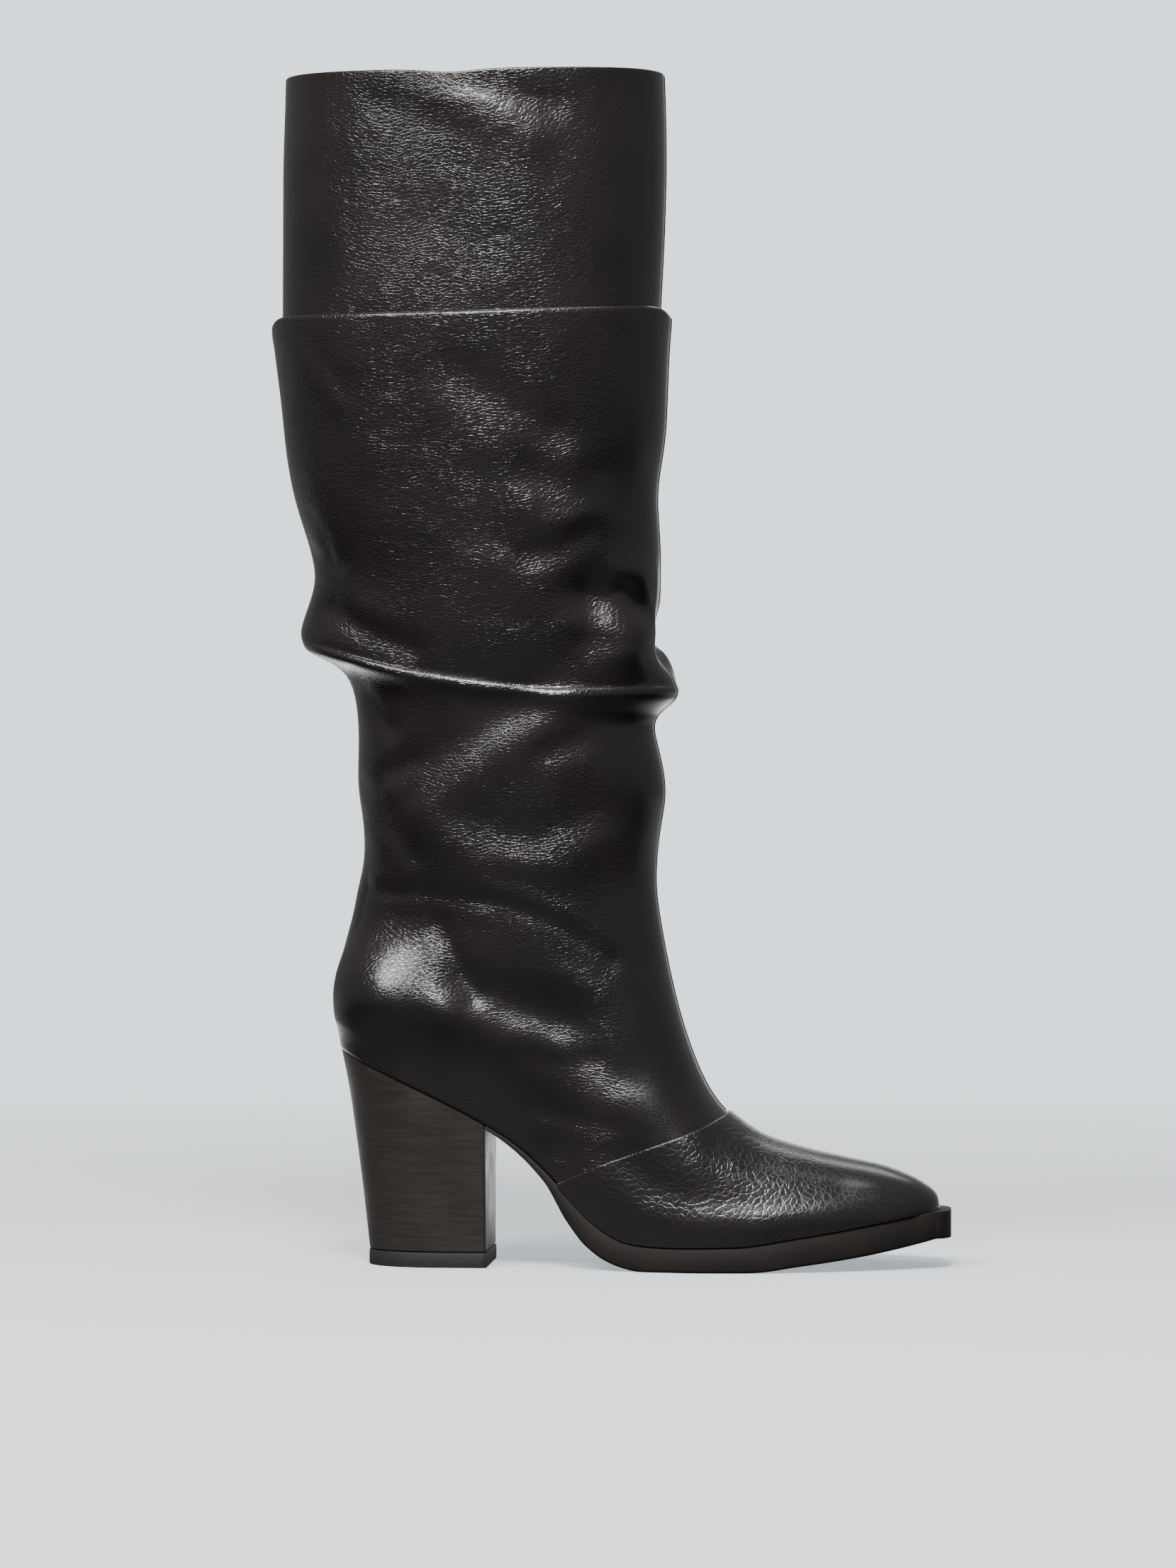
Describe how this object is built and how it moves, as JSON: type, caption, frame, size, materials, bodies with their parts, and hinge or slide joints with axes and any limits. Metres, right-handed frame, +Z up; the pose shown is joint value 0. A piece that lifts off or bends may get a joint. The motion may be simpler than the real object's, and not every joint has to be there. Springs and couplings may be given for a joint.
{
  "type": "slouch boot",
  "caption": "Tall pull-on slouch boot with a squared toe, a leather shaft in soft folds and a high block heel; open at the collar.",
  "frame": {"origin": "centre of the heel's ground face, on the floor", "axes": "+X towards the toe, +Y towards the inner side of the foot, +Z up the shaft"},
  "size_m": [0.292, 0.1108, 0.5095],
  "materials": {
    "upper_leather": "black tumbled leather, semi-gloss",
    "vamp_leather": "black tumbled leather, semi-gloss",
    "outsole_rubber": "matt black-brown edge",
    "heel_block": "matt black stacked look",
    "top_piece_rubber": "matt black",
    "insole_leather": "plain tan lining leather"
  },
  "bodies": {
    "root": {"upper": "upper_leather", "vamp": "vamp_leather", "outsole": "outsole_rubber", "heel": "heel_block", "top_piece": "top_piece_rubber", "insole": "insole_leather"}
  },
  "joints": []
}
